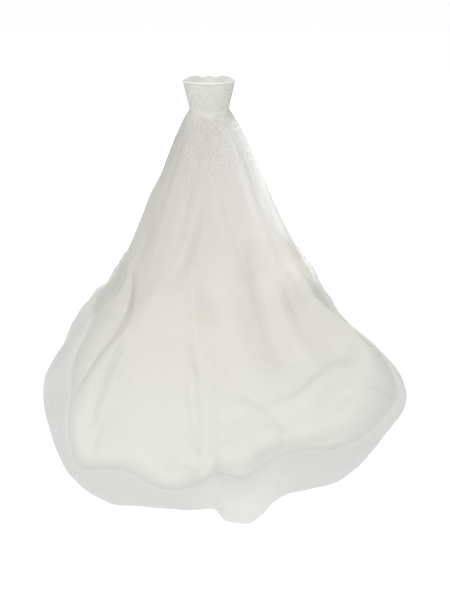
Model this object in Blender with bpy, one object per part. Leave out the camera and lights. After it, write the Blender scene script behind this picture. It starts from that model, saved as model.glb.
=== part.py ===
"""Strapless ball gown with a cathedral train, filled out as when it is worn.

Metres, +Z up. The origin is the middle of the waist, the floor is FLOOR_DROP below it, -Y
points along the train and +X to the wearer's right. Angles are degrees round the waist,
from the middle of the train toward the wearer's right.
"""
import math

import bpy
from mathutils import Vector

for old in list(bpy.data.objects):
    bpy.data.objects.remove(old, do_unlink=True)

# Heights and cloth
FLOOR_DROP = 1.10
BODICE_WALL = 0.0024
TULLE_WALL = 0.0016
SATIN_WALL = 0.0022
SEAM_GAP = 0.0003
LAYER_GAP = 0.009
LAYER_FALL = 0.14
STAND_OFF_FALL = 0.35
TRAIN_LIFT = 0.014
HEM_LIFT = 0.0018

# Skirt's fall: flare of the gathers, then nearly straight, then a soft break at the floor
HIP_SHARE = 0.08
HIP_FALL = 0.11
FLARE_SHARE = 0.11
BREAK_SIZE = 0.09
PROFILE_STEPS = 160
PROFILE_END = 1.7

# Grid of the cloth
SATIN_ROWS = 10
TULLE_EXTRA_ROWS = 2
ROW_POWER = 1.15
BODICE_ROWS = 6
WAIST_STEP = 10.0

# Cups and neckline
CUP_ANGLE = 31.0
CUP_SPREAD = 21.0
CUP_HEIGHT = 0.112
CUP_TALL = 0.052
CUP_DEPTH = 0.013
BINDING_HEIGHT = 0.009
BINDING_WALL = 0.0016
INSERT_HALF_ANGLE = 15.0
INSERT_ROWS = 3
INSERT_TOP = 0.1885
INSERT_TOP_FALL = 0.002
INSERT_WALL = 0.0012

BODICE_RINGS = (
    # height, half_width, back_depth, front_depth
    (-0.045, 0.129, 0.098, 0.098),
    (0.000, 0.124, 0.092, 0.094),
    (0.035, 0.131, 0.096, 0.100),
    (0.070, 0.139, 0.101, 0.109),
    (0.105, 0.147, 0.106, 0.117),
    (0.140, 0.155, 0.110, 0.121),
    (0.175, 0.161, 0.113, 0.119),
    (0.200, 0.164, 0.114, 0.115),
)
TOP_EDGE = (
    # degrees, height
    (0, 0.176), (45, 0.175), (90, 0.173), (125, 0.179), (148, 0.190), (162, 0.187), (172, 0.175),
    (180, 0.163), (188, 0.175), (198, 0.187), (212, 0.190), (235, 0.179), (270, 0.173), (315, 0.175),
)
WAIST_EDGE = (
    # degrees, height
    (0, -0.042), (14, -0.028), (30, -0.010), (60, -0.001), (100, 0.000), (180, 0.000),
    (260, 0.000), (300, -0.001), (330, -0.010), (346, -0.028),
)
HANG = (
    # degrees, distance at which the cloth meets the floor
    (0, 1.04), (12, 1.05), (24, 1.02), (36, 0.95), (48, 0.86), (62, 0.76), (80, 0.69),
    (100, 0.65), (125, 0.61), (155, 0.58), (180, 0.57), (210, 0.56), (240, 0.58), (265, 0.61),
    (285, 0.65), (305, 0.74), (320, 0.84), (332, 0.94), (344, 1.01),
)
HEM = (
    # degrees, distance of the hem
    (3, 2.38), (10, 2.27), (17, 2.17), (23, 2.01), (30, 1.87), (36, 1.72), (41, 1.47),
    (45, 1.18), (51, 1.03), (57, 0.93), (70, 0.78), (85, 0.72), (110, 0.67), (145, 0.62),
    (180, 0.60), (215, 0.61), (250, 0.64), (275, 0.67), (292, 0.74), (309, 1.03), (321, 1.30),
    (328, 1.60), (333, 1.78), (343, 2.13), (349, 2.26), (355, 2.32),
)
SATIN_MARGIN = (
    # degrees, how far the underskirt's hem stops short of the tulle's
    (4, 0.26), (15, 0.22), (26, 0.17), (38, 0.07), (60, 0.03), (180, 0.025), (300, 0.03),
    (328, 0.06), (342, 0.10), (352, 0.15),
)
STAND_OFF = (
    # degrees, how much further the hanging tulle stands away from the underskirt
    (0, 0.000), (35, 0.010), (60, 0.024), (90, 0.026), (130, 0.012), (180, 0.006),
    (240, 0.008), (285, 0.012), (325, 0.004),
)
FOLDS = (
    # from degrees, from share, to degrees, to share, half width, height (troughs below zero)
    (-58, 0.35, -38, 0.70, 0.090, -0.030),
    (-38, 0.70, -26, 0.92, 0.080, -0.016),
    (-48, 0.60, -39, 0.94, 0.100, 0.040),
    (-27, 0.60, -17, 0.92, 0.080, 0.036),
    (-22, 0.68, -14, 0.98, 0.050, -0.014),
    (2, 0.10, -9, 0.32, 0.060, 0.012),
    (-9, 0.30, -24, 0.56, 0.090, 0.030),
    (6, 0.18, 14, 0.42, 0.070, 0.018),
    (-6, 0.40, 0, 0.66, 0.070, -0.020),
    (-7, 0.60, 1, 0.90, 0.060, -0.014),
    (-2, 0.50, 7, 0.72, 0.070, 0.026),
    (7, 0.72, 14, 0.92, 0.080, 0.024),
    (31, 0.80, 6, 0.80, 0.090, 0.030),
    (31, 0.94, 14, 0.88, 0.080, 0.020),
    (21, 0.30, 18, 0.72, 0.090, -0.034),
    (30, 0.25, 31, 0.70, 0.100, 0.026),
    (42, 0.30, 38, 0.72, 0.080, -0.018),
    (50, 0.30, 46, 0.90, 0.080, 0.022),
    (-33, 0.30, -30, 0.58, 0.070, -0.018),
    (-72, 0.35, -66, 1.00, 0.080, 0.024),
    (64, 0.35, 60, 1.00, 0.070, -0.018),
    (76, 0.35, 76, 1.00, 0.080, 0.022),
    (89, 0.40, 92, 1.00, 0.060, -0.018),
    (103, 0.35, 106, 1.00, 0.080, 0.026),
    (118, 0.40, 121, 1.00, 0.070, -0.020),
    (133, 0.35, 138, 1.00, 0.080, 0.022),
    (148, 0.40, 152, 1.00, 0.060, -0.016),
    (162, 0.35, 168, 1.00, 0.070, 0.024),
    (178, 0.40, 182, 1.00, 0.070, -0.018),
    (194, 0.35, 196, 1.00, 0.070, 0.022),
    (208, 0.40, 211, 1.00, 0.060, -0.018),
    (222, 0.35, 226, 1.00, 0.080, 0.024),
    (238, 0.40, 241, 1.00, 0.070, -0.016),
    (252, 0.35, 256, 1.00, 0.080, 0.024),
    (266, 0.40, 271, 1.00, 0.070, -0.020),
    (279, 0.35, 283, 1.00, 0.060, 0.018),
)
FOLD_WAIST_FADE = 0.30
FOLD_END = 0.25
FOLD_HEM_KEEP = 0.35
FOLD_STEPS = 6

BODICE_PANELS = (
    # name, from degrees, to degrees, columns
    ("bodice_back_right", 0, 40, 8),
    ("bodice_side_back_right", 40, 90, 5),
    ("bodice_side_front_right", 90, 150, 6),
    ("bodice_centre_front", 150, 210, 12),
    ("bodice_side_front_left", 210, 270, 6),
    ("bodice_side_back_left", 270, 320, 5),
    ("bodice_back_left", 320, 360, 8),
)
BINDINGS = (
    # name, from degrees, to degrees
    ("binding_back", -90, 90),
    ("binding_front_right", 90, 180),
    ("binding_front_left", 180, 270),
)
SKIRT_GORES = (
    # name, from degrees, to degrees, columns
    ("train_right", 0, 50, 20),
    ("side_right", 50, 130, 16),
    ("front", 130, 230, 18),
    ("side_left", 230, 310, 16),
    ("train_left", 310, 360, 20),
)


def material(name, colour, roughness):
    """Plain cloth colour for one sub-part."""
    made = bpy.data.materials.new(name)
    made.use_nodes = True
    shader = made.node_tree.nodes["Principled BSDF"]
    shader.inputs["Base Color"].default_value = colour + (1.0,)
    shader.inputs["Roughness"].default_value = roughness
    return made


def slope_at(x_before, x_here, x_after, y_before, y_here, y_after):
    """Slope that keeps a curve between its points, with no overshoot."""
    left = (y_here - y_before) / (x_here - x_before)
    right = (y_after - y_here) / (x_after - x_here)
    if left * right <= 0:
        return 0.0
    return 2 * left * right / (left + right)


def between(before, start, end, after, x):
    """Smooth value at x on the stretch from start to end."""
    width = end[0] - start[0]
    t = (x - start[0]) / width
    slope_start = slope_at(before[0], start[0], end[0], before[1], start[1], end[1])
    slope_end = slope_at(start[0], end[0], after[0], start[1], end[1], after[1])
    rise = t * t * (3 - 2 * t)
    return ((1 - rise) * start[1] + rise * end[1]
            + t * (1 - t) ** 2 * width * slope_start + t * t * (t - 1) * width * slope_end)


def around(table, column, degrees):
    """Smooth value of a table's column at an angle, going once round the gown."""
    count = len(table)
    angle = degrees % 360.0
    last = max((k for k in range(count) if table[k][0] <= angle), default=-1)

    def node(k):
        turn, index = divmod(k, count)
        return table[index][0] + 360.0 * turn, table[index][column]

    return between(node(last - 1), node(last), node(last + 1), node(last + 2), angle)


def along(table, column, x):
    """Smooth value of a table's column between its first and last rows."""
    x = min(max(x, table[0][0]), table[-1][0])
    last = max(i for i in range(len(table) - 1) if table[i][0] <= x)

    def node(i):
        if i < 0:
            return 2 * table[0][0] - table[1][0], 2 * table[0][column] - table[1][column]
        if i >= len(table):
            return 2 * table[-1][0] - table[-2][0], 2 * table[-1][column] - table[-2][column]
        return table[i][0], table[i][column]

    return between(node(last - 1), node(last), node(last + 1), node(last + 2), x)


def smooth(x):
    """Soft step from 0 to 1."""
    x = min(max(x, 0.0), 1.0)
    return x * x * (3 - 2 * x)


def bodice_point(degrees, height):
    """Outer face of the bodice, an oval ring that swells at the two cups."""
    a = math.radians(degrees)
    half_width = along(BODICE_RINGS, 1, height)
    depth = along(BODICE_RINGS, 2 if math.cos(a) > 0 else 3, height)
    swell = 0.0
    for cup in (180.0 - CUP_ANGLE, 180.0 + CUP_ANGLE):
        aside = (degrees % 360.0 - cup) / CUP_SPREAD
        above = (height - CUP_HEIGHT) / CUP_TALL
        swell += CUP_DEPTH * math.exp(-aside * aside - above * above)
    reach = Vector((half_width * math.sin(a), -depth * math.cos(a), 0.0))
    return reach * (1 + swell / reach.length) + Vector((0.0, 0.0, height))


def height_over_floor(level, drop):
    """Height of the hanging cloth, eased into the floor instead of reaching it sharply."""
    eased = level + math.sqrt(level * level + BREAK_SIZE ** 2)
    top = drop + math.sqrt(drop * drop + BREAK_SIZE ** 2)
    return drop * eased / top


def waist_height(degrees):
    """Height of the waist seam, straight between stops that the panels' columns stand on."""
    low = math.floor(degrees / WAIST_STEP) * WAIST_STEP
    f = (degrees - low) / WAIST_STEP
    return (1 - f) * around(WAIST_EDGE, 1, low) + f * around(WAIST_EDGE, 1, low + WAIST_STEP)


def skirt_profile(degrees):
    """Waist point, direction out and the fine profile (distance out, height) at an angle."""
    a = math.radians(degrees)
    start = bodice_point(degrees, waist_height(degrees))
    hem = around(HEM, 1, degrees)
    out = Vector((hem * math.sin(a) - start.x, -hem * math.cos(a) - start.y, 0.0))
    reach = out.length
    drop = FLOOR_DROP + start.z
    hang = around(HANG, 1, degrees) - math.hypot(start.x, start.y)
    points = []
    for k in range(PROFILE_STEPS + 1):
        t = PROFILE_END * k / PROFILE_STEPS
        flare = HIP_SHARE * (1 - math.exp(-t / HIP_FALL))
        distance = hang * (flare + (1 - HIP_SHARE - FLARE_SHARE) * t + FLARE_SHARE * t ** 3)
        height = height_over_floor(drop * (1 - t), drop)
        if distance >= reach:
            break
        points.append((distance, height))
    last_height = points[-1][1]
    last_distance = points[-1][0]
    for k in range(1, PROFILE_STEPS + 1):
        points.append((last_distance + (reach - last_distance) * k / PROFILE_STEPS, last_height))
    return start, out / reach, points


def profile_lengths(points):
    """Length along the cloth at each point of a profile."""
    lengths = [0.0]
    for here, after in zip(points, points[1:]):
        lengths.append(lengths[-1] + math.hypot(after[0] - here[0], after[1] - here[1]))
    return lengths


def skirt_column(degrees):
    """Unfolded cloth at one angle: each point with its share of the length and its lift."""
    start, out, points = skirt_profile(degrees)
    lengths = profile_lengths(points)
    total = lengths[-1]
    satin_end = total - around(SATIN_MARGIN, 1, degrees)
    stops = [satin_end * (j / SATIN_ROWS) ** ROW_POWER for j in range(SATIN_ROWS + 1)]
    for j in range(1, TULLE_EXTRA_ROWS + 1):
        stops.append(satin_end + (total - satin_end) * j / TULLE_EXTRA_ROWS)
    column = []
    k = 0
    for stop in stops:
        while k < len(points) - 2 and lengths[k + 1] < stop:
            k += 1
        f = (stop - lengths[k]) / (lengths[k + 1] - lengths[k])
        distance = points[k][0] + f * (points[k + 1][0] - points[k][0])
        height = points[k][1] + f * (points[k + 1][1] - points[k][1])
        past_satin = smooth((stop - satin_end) / (total - satin_end))
        lift = TRAIN_LIFT + (HEM_LIFT - TRAIN_LIFT) * past_satin
        waist_share = min(1.0, height / FLOOR_DROP)
        level = height + lift * (1 - waist_share) - FLOOR_DROP
        place = Vector((start.x, start.y, 0.0)) + out * distance + Vector((0.0, 0.0, level))
        if stop == 0.0:
            place.z = start.z - SEAM_GAP
        column.append((place, stop / total, lift))
    return column


def layer_depth(level, stand_off):
    """How far the underskirt's face lies behind the tulle's, from the sewn waist to the floor."""
    start = smooth(-level / LAYER_FALL)
    hanging = smooth(-level / STAND_OFF_FALL) * smooth((level + FLOOR_DROP) / STAND_OFF_FALL)
    return TULLE_WALL + SEAM_GAP + (LAYER_GAP - SEAM_GAP) * start + stand_off * hanging


def stroke(fold):
    """Points of a fold's line on the unfolded cloth."""
    from_degrees, from_share, to_degrees, to_share = fold[:4]
    line = []
    for k in range(FOLD_STEPS + 1):
        f = k / FOLD_STEPS
        degrees = from_degrees + f * (to_degrees - from_degrees)
        share = from_share + f * (to_share - from_share)
        start, out, points = skirt_profile(degrees)
        lengths = profile_lengths(points)
        stop = share * lengths[-1]
        i = max(n for n in range(len(lengths) - 1) if lengths[n] <= stop)
        distance, height = points[i]
        flat = Vector((start.x, start.y, 0.0)) + out * distance
        line.append(flat + Vector((0.0, 0.0, height - FLOOR_DROP)))
    return line


def distance_to(line, place):
    """Distance from a point to a line, and how far along the line it is nearest."""
    best = (math.inf, 0.0)
    for k, (here, after) in enumerate(zip(line, line[1:])):
        span = after - here
        f = min(max((place - here).dot(span) / span.length_squared, 0.0), 1.0)
        gap = (place - here - span * f).length
        if gap < best[0]:
            best = (gap, (k + f) / (len(line) - 1))
    return best


def normals_of(grid, level_rows):
    """Outward directions of a grid that goes all the way round, level on the sewn rows."""
    count = len(grid)
    result = []
    for k in range(count):
        column = []
        for j in range(len(grid[k])):
            across = grid[(k + 1) % count][j] - grid[k - 1][j]
            below = grid[k][min(j + 1, len(grid[k]) - 1)]
            above = grid[k][max(j - 1, 0)]
            outward = across.cross(above - below)
            if j in level_rows:
                outward.z = 0.0
            column.append(outward.normalized())
        result.append(column)
    return result


def across_of(grid):
    """Unit directions along the rows of a grid that goes all the way round."""
    count = len(grid)
    return [[(grid[(k + 1) % count][j] - grid[k - 1][j]).normalized()
             for j in range(len(grid[k]))] for k in range(count)]


def moved(grid, normals, amounts):
    """Grid moved along its normals by one amount for each row."""
    return [[p + n * amounts[j] for j, (p, n) in enumerate(zip(column, directions))]
            for column, directions in zip(grid, normals)]


def panel(name, outer, inner, across, start, columns, made_of):
    """Closed wall from a stretch of two grids, drawn back half a seam at each side."""
    count = len(outer)
    rows = len(outer[0])
    verts = []
    for side in (outer, inner):
        for i in range(columns + 1):
            k = (start + i) % count
            nudge = 0.0
            if i == 0:
                nudge = 0.5 * SEAM_GAP
            if i == columns:
                nudge = -0.5 * SEAM_GAP
            for j in range(rows):
                verts.append(side[k][j] + across[k][j] * nudge)

    def at(side, i, j):
        return (side * (columns + 1) + i) * rows + j

    faces = []
    for i in range(columns):
        for j in range(rows - 1):
            a, b, c, d = at(0, i, j), at(0, i, j + 1), at(0, i + 1, j + 1), at(0, i + 1, j)
            faces += [(a, b, c), (a, c, d)]
            a, b, c, d = at(1, i, j), at(1, i, j + 1), at(1, i + 1, j + 1), at(1, i + 1, j)
            faces += [(a, c, b), (a, d, c)]
        top = (at(0, i, 0), at(0, i + 1, 0), at(1, i + 1, 0), at(1, i, 0))
        end = rows - 1
        low = (at(0, i, end), at(1, i, end), at(1, i + 1, end), at(0, i + 1, end))
        faces += [(top[0], top[1], top[2]), (top[0], top[2], top[3])]
        faces += [(low[0], low[1], low[2]), (low[0], low[2], low[3])]
    for j in range(rows - 1):
        a, b, c, d = at(0, 0, j), at(1, 0, j), at(1, 0, j + 1), at(0, 0, j + 1)
        faces += [(a, b, c), (a, c, d)]
        a, b = at(0, columns, j), at(0, columns, j + 1)
        c, d = at(1, columns, j + 1), at(1, columns, j)
        faces += [(a, b, c), (a, c, d)]
    mesh = bpy.data.meshes.new(name)
    mesh.from_pydata([tuple(v) for v in verts], [], faces)
    mesh.materials.append(made_of)
    made = bpy.data.objects.new(name, mesh)
    bpy.context.scene.collection.objects.link(made)


# Bodice: seven panels between the waist seam and the neckline
bodice_angles = []
for name, first, last, columns in BODICE_PANELS:
    bodice_angles += [first + (last - first) * i / columns for i in range(columns)]
bodice_outer = []
for degrees in bodice_angles:
    low = waist_height(degrees)
    high = around(TOP_EDGE, 1, degrees)
    bodice_outer.append([bodice_point(degrees, high + (low - high) * j / BODICE_ROWS)
                         for j in range(BODICE_ROWS + 1)])
bodice_normals = normals_of(bodice_outer, (0, BODICE_ROWS))
bodice_across = across_of(bodice_outer)
bodice_inner = moved(bodice_outer, bodice_normals, [-BODICE_WALL] * (BODICE_ROWS + 1))
first_column = 0
for name, first, last, columns in BODICE_PANELS:
    panel(name, bodice_outer, bodice_inner, bodice_across, first_column, columns,
          material(name + "_satin", (0.86, 0.85, 0.81), 0.6))
    first_column += columns

# Binding: three strips on the neckline's outer face
strip_inner = []
for degrees in bodice_angles:
    high = around(TOP_EDGE, 1, degrees)
    pair = [bodice_point(degrees, high), bodice_point(degrees, high - BINDING_HEIGHT)]
    strip_inner.append(pair)
strip_normals = normals_of(strip_inner, (0, 1))
strip_inner = moved(strip_inner, strip_normals, [2 * SEAM_GAP] * 2)
strip_outer = moved(strip_inner, strip_normals, [BINDING_WALL] * 2)
strip_across = across_of(strip_outer)
for name, first, last in BINDINGS:
    start = min(range(len(bodice_angles)), key=lambda k: abs(bodice_angles[k] - first % 360))
    columns = sum(1 for angle in bodice_angles if (angle - first) % 360 < last - first)
    panel(name, strip_outer, strip_inner, strip_across, start, columns,
          material(name + "_satin", (0.90, 0.89, 0.86), 0.45))

# Insert: small panel behind the notch, made from the centre front's own points
insert_outer = []
for k, degrees in enumerate(bodice_angles):
    share = min(1.0, abs(degrees - 180.0) / INSERT_HALF_ANGLE)
    high = INSERT_TOP - INSERT_TOP_FALL * share * share
    above = bodice_point(degrees, high) - bodice_normals[k][0] * BODICE_WALL
    insert_outer.append([above] + bodice_inner[k][:INSERT_ROWS])
insert_normals = normals_of(insert_outer, ())
insert_across = across_of(insert_outer)
insert_outer = moved(insert_outer, insert_normals, [-2 * SEAM_GAP] * (INSERT_ROWS + 1))
insert_inner = moved(insert_outer, insert_normals, [-INSERT_WALL] * (INSERT_ROWS + 1))
insert_start = bodice_angles.index(180.0 - INSERT_HALF_ANGLE)
insert_columns = bodice_angles.index(180.0 + INSERT_HALF_ANGLE) - insert_start
panel("bodice_insert", insert_outer, insert_inner, insert_across, insert_start, insert_columns,
      material("bodice_insert_satin", (0.88, 0.87, 0.84), 0.5))

# Skirt: both layers share one grid of columns, so they never cross
skirt_angles = []
for name, first, last, columns in SKIRT_GORES:
    skirt_angles += [first + (last - first) * i / columns for i in range(columns)]
skirt_columns = [skirt_column(degrees) for degrees in skirt_angles]
plain = [[entry[0] for entry in column] for column in skirt_columns]
plain_normals = normals_of(plain, (0,))
strokes = [(stroke(fold), fold[4], fold[5]) for fold in FOLDS]
tulle_outer = []
for k, column in enumerate(skirt_columns):
    folded = []
    for j, (place, share, lift) in enumerate(column):
        push = 0.0
        for line, half_width, height in strokes:
            gap, progress = distance_to(line, place)
            ends = smooth(progress / FOLD_END) * smooth((1 - progress) / FOLD_END + FOLD_HEM_KEEP)
            push += height * ends * math.exp(-(gap / half_width) ** 2)
        push *= smooth(share / FOLD_WAIST_FADE)
        point = place + plain_normals[k][j] * push
        point.z = max(point.z, lift - FLOOR_DROP)
        folded.append(point)
    tulle_outer.append(folded)
tulle_normals = normals_of(tulle_outer, (0,))
skirt_across = across_of(tulle_outer)
tulle_rows = SATIN_ROWS + TULLE_EXTRA_ROWS + 1
tulle_inner = moved(tulle_outer, tulle_normals, [-TULLE_WALL] * tulle_rows)
satin_outer = []
for k, column in enumerate(tulle_outer):
    stand_off = around(STAND_OFF, 1, skirt_angles[k])
    satin_outer.append([point - tulle_normals[k][j] * layer_depth(point.z, stand_off)
                        for j, point in enumerate(column[:SATIN_ROWS + 1])])
satin_inner = moved(satin_outer, tulle_normals, [-SATIN_WALL] * (SATIN_ROWS + 1))
first_column = 0
for name, first, last, columns in SKIRT_GORES:
    panel("tulle_" + name, tulle_outer, tulle_inner, skirt_across, first_column, columns,
          material("tulle_" + name + "_net", (0.90, 0.90, 0.88), 0.7))
    panel("underskirt_" + name, satin_outer, satin_inner, skirt_across, first_column, columns,
          material("underskirt_" + name + "_satin", (0.85, 0.84, 0.80), 0.5))
    first_column += columns
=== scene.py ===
import math

import bpy
import numpy as np
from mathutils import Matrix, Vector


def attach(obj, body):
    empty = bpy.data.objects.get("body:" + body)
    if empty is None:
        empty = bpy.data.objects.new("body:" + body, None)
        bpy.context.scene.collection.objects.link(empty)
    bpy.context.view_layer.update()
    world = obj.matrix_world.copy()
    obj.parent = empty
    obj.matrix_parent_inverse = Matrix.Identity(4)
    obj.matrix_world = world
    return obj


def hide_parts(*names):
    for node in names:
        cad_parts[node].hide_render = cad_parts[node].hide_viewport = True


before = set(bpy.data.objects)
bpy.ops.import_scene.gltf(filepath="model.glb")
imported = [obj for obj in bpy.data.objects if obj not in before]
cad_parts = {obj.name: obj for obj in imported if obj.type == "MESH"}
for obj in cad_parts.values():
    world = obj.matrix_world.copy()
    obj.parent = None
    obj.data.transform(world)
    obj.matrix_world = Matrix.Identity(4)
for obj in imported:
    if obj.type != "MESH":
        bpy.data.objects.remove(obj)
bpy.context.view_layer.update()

# Bodice. Seven boned satin panels under floral lace, cut to the figure and sewn edge to
# edge: princess seams run up over the cups, and the closure is hidden in the seam at the
# centre back. Angles go round the waist from the middle of the train, toward +X first.
BODICE_RINGS = (
    # height, half_width, back_depth, front_depth
    (-0.045, 0.129, 0.098, 0.098),
    (0.000, 0.124, 0.092, 0.094),
    (0.035, 0.131, 0.096, 0.100),
    (0.070, 0.139, 0.101, 0.109),
    (0.105, 0.147, 0.106, 0.117),
    (0.140, 0.155, 0.110, 0.121),
    (0.175, 0.161, 0.113, 0.119),
    (0.200, 0.164, 0.114, 0.115),
)
TOP_EDGE = (
    # degrees, height
    (0, 0.176), (45, 0.176), (90, 0.173), (125, 0.178), (140, 0.184), (151, 0.183), (162, 0.175),
    (171, 0.165), (180, 0.160), (189, 0.165), (198, 0.175), (209, 0.183), (220, 0.184), (235, 0.178),
    (270, 0.173), (315, 0.176),
)
WAIST_EDGE = (
    # degrees, height
    (0, -0.042), (14, -0.028), (30, -0.010), (60, -0.001), (100, 0.000), (180, 0.000),
    (260, 0.000), (300, -0.001), (330, -0.010), (346, -0.028),
)
CUP_ANGLE, CUP_SPREAD, CUP_HEIGHT, CUP_TALL, CUP_DEPTH = 31.0, 21.0, 0.112, 0.052, 0.013
BODICE_PANELS = (
    # node, from degrees, to degrees, flat width, flat length, flat area, the binding over it
    ("bodice_back_right", 0, 40, 0.11, 0.22, 0.019, "binding_back"),
    ("bodice_side_back_right", 40, 90, 0.11, 0.18, 0.018, "binding_back"),
    ("bodice_side_front_right", 90, 150, 0.14, 0.20, 0.024, "binding_front_right"),
    ("bodice_centre_front", 150, 210, 0.18, 0.20, 0.029, "binding_front_left"),
    ("bodice_side_front_left", 210, 270, 0.14, 0.20, 0.024, "binding_front_left"),
    ("bodice_side_back_left", 270, 320, 0.11, 0.18, 0.018, "binding_back"),
    ("bodice_back_left", 320, 360, 0.11, 0.22, 0.019, "binding_back"),
)
BODICE_STEP = 0.8
BODICE_ROWS = 52
BODICE_WALL = 0.0022
SEAM_HALF_GAP = 0.00015
# The glow inside the bodice is painted light: the inner cloth of the cups emits a little, though it is no
# lamp, standing in for light through the thin satin.
PAINTED_LINING_GLOW, BODICE_BEADED = 0.04, 0.4
SEAM_DIP, SEAM_WIDTH = 0.0009, 0.0022
BONE_RISE, BONE_WIDTH = 0.0007, 0.0035


def smooth(x):
    """Soft step from 0 to 1."""
    x = np.clip(x, 0.0, 1.0)
    return x * x * (3 - 2 * x)


def curve_through(x, y, at):
    """Smooth curve through table points, with no overshoot, read at many places."""
    rise = np.diff(y) / np.diff(x)
    same = rise[:-1] * rise[1:] > 0
    slope = np.where(same, 2 * rise[:-1] * rise[1:] / np.where(same, rise[:-1] + rise[1:], 1.0), 0.0)
    i = np.clip(np.searchsorted(x, at, side="right") - 1, 1, len(x) - 3)
    width = x[i + 1] - x[i]
    t = (at - x[i]) / width
    ease = smooth(t)
    return ((1 - ease) * y[i] + ease * y[i + 1]
            + t * (1 - t) ** 2 * width * slope[i - 1] + t * t * (t - 1) * width * slope[i])


def around(table, degrees):
    """A table's second column at angles that go round the gown."""
    x = np.array([row[0] for row in table], float)
    y = np.array([row[1] for row in table], float)
    x = np.concatenate([x[-2:] - 360, x, x[:2] + 360])
    y = np.concatenate([y[-2:], y, y[:2]])
    return curve_through(x, y, np.asarray(degrees, float) % 360.0)


def along(table, column, at):
    """A table's column between its first and last rows."""
    x = np.array([row[0] for row in table], float)
    y = np.array([row[column] for row in table], float)
    at = np.clip(at, x[0], x[-1])
    x = np.concatenate([[2 * x[0] - x[1]], x, [2 * x[-1] - x[-2]]])
    y = np.concatenate([[2 * y[0] - y[1]], y, [2 * y[-1] - y[-2]]])
    return curve_through(x, y, at)


def bodice_point(degrees, height):
    """Outer face of the bodice: oval rings that swell at the two cups."""
    a = np.radians(degrees)
    half_width = along(BODICE_RINGS, 1, height)
    depth = np.where(np.cos(a) > 0, along(BODICE_RINGS, 2, height), along(BODICE_RINGS, 3, height))
    swell = 0.0
    for cup in (180.0 - CUP_ANGLE, 180.0 + CUP_ANGLE):
        aside = (np.asarray(degrees, float) % 360.0 - cup) / CUP_SPREAD
        swell = swell + CUP_DEPTH * np.exp(-aside ** 2 - ((height - CUP_HEIGHT) / CUP_TALL) ** 2)
    x, y = half_width * np.sin(a), -depth * np.cos(a)
    grow = 1 + swell / np.hypot(x, y)
    return np.stack([x * grow, y * grow, height + 0 * x], -1)


def unit(v):
    """Vectors of length 1."""
    return v / np.linalg.norm(v, axis=-1, keepdims=True)


def outward(grid):
    """Outward directions of a grid of columns (round the gown) and rows (downward)."""
    return unit(np.cross(np.gradient(grid, axis=0), -np.gradient(grid, axis=1)))


def place_object(name, data):
    """A new object in the scene."""
    made = bpy.data.objects.new(name, data)
    bpy.context.scene.collection.objects.link(made)
    return made


def cloth(name, face, back, uv, directions=None):
    """Closed thin cloth between two grids of points, with its own UVs in metres. Directions
    are those of the whole garment, so that its shading runs on over a seam."""
    n, m = face.shape[:2]
    at = np.arange(n * m).reshape(n, m)

    def quads(a, b, c, d):
        return np.stack([a.ravel(), b.ravel(), c.ravel(), d.ravel()], 1)

    front = quads(at[:-1, :-1], at[:-1, 1:], at[1:, 1:], at[1:, :-1])
    rear = front[:, ::-1] + n * m
    top = quads(at[:-1, 0], at[1:, 0], at[1:, 0] + n * m, at[:-1, 0] + n * m)
    low = quads(at[:-1, -1], at[:-1, -1] + n * m, at[1:, -1] + n * m, at[1:, -1])
    first = quads(at[0, :-1], at[0, :-1] + n * m, at[0, 1:] + n * m, at[0, 1:])
    last = quads(at[-1, :-1], at[-1, 1:], at[-1, 1:] + n * m, at[-1, :-1] + n * m)
    faces = np.concatenate([front, rear, top, low, first, last])
    points = np.concatenate([face.reshape(-1, 3), back.reshape(-1, 3)])
    mesh = bpy.data.meshes.new(name)
    mesh.vertices.add(len(points))
    mesh.vertices.foreach_set("co", points.ravel())
    mesh.loops.add(faces.size)
    mesh.loops.foreach_set("vertex_index", faces.ravel().astype(np.int32))
    mesh.polygons.add(len(faces))
    mesh.polygons.foreach_set("loop_start", np.arange(0, faces.size, 4, dtype=np.int32))
    mesh.update(calc_edges=True)
    flat = np.concatenate([uv.reshape(-1, 2), uv.reshape(-1, 2)])[faces.ravel()]
    mesh.uv_layers.new(name="cut").data.foreach_set("uv", flat.ravel())
    mesh.polygons.foreach_set("use_smooth", np.ones(len(faces), bool))
    ends = np.zeros(len(mesh.edges) * 2, np.int32)
    mesh.edges.foreach_get("vertices", ends)
    ends = ends.reshape(-1, 2)
    rim = np.zeros(n * m, bool)
    rim[np.concatenate([at[0], at[-1], at[:, 0], at[:, -1]])] = True
    same_side = (ends[:, 0] < n * m) == (ends[:, 1] < n * m)
    sharp = mesh.attributes.new("sharp_edge", "BOOLEAN", "EDGE")
    sharp.data.foreach_set("value", rim[ends[:, 0] % (n * m)] & rim[ends[:, 1] % (n * m)] & same_side)
    mesh.validate()
    if directions is not None:
        facing = np.concatenate([directions.reshape(-1, 3), -directions.reshape(-1, 3)])[faces]
        corners = points[faces[2 * len(front):]]
        rim_facing = unit(np.cross(corners[:, 2] - corners[:, 0], corners[:, 3] - corners[:, 1]))
        facing[2 * len(front):] = rim_facing[:, None]
        mesh.normals_split_custom_set(facing.reshape(-1, 3).tolist())
    return place_object(name, mesh)


def cut_uv(grid):
    """UVs in metres: distance across the cloth and distance down it."""
    across = np.zeros(grid.shape[:2])
    across[1:] = np.cumsum(np.linalg.norm(np.diff(grid, axis=0), axis=-1), axis=0)
    across -= across.mean(axis=0, keepdims=True)
    down = np.zeros(grid.shape[:2])
    down[:, 1:] = np.cumsum(np.linalg.norm(np.diff(grid, axis=1), axis=-1), axis=1)
    return np.stack([across, down], -1)


def draw_back(grid, first_edge, last_edge):
    """The grid with its side edges drawn back half a seam's gap."""
    grid = grid.copy()
    grid[0] += unit(grid[1] - grid[0]) * first_edge
    grid[-1] -= unit(grid[-1] - grid[-2]) * last_edge
    return grid


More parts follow.
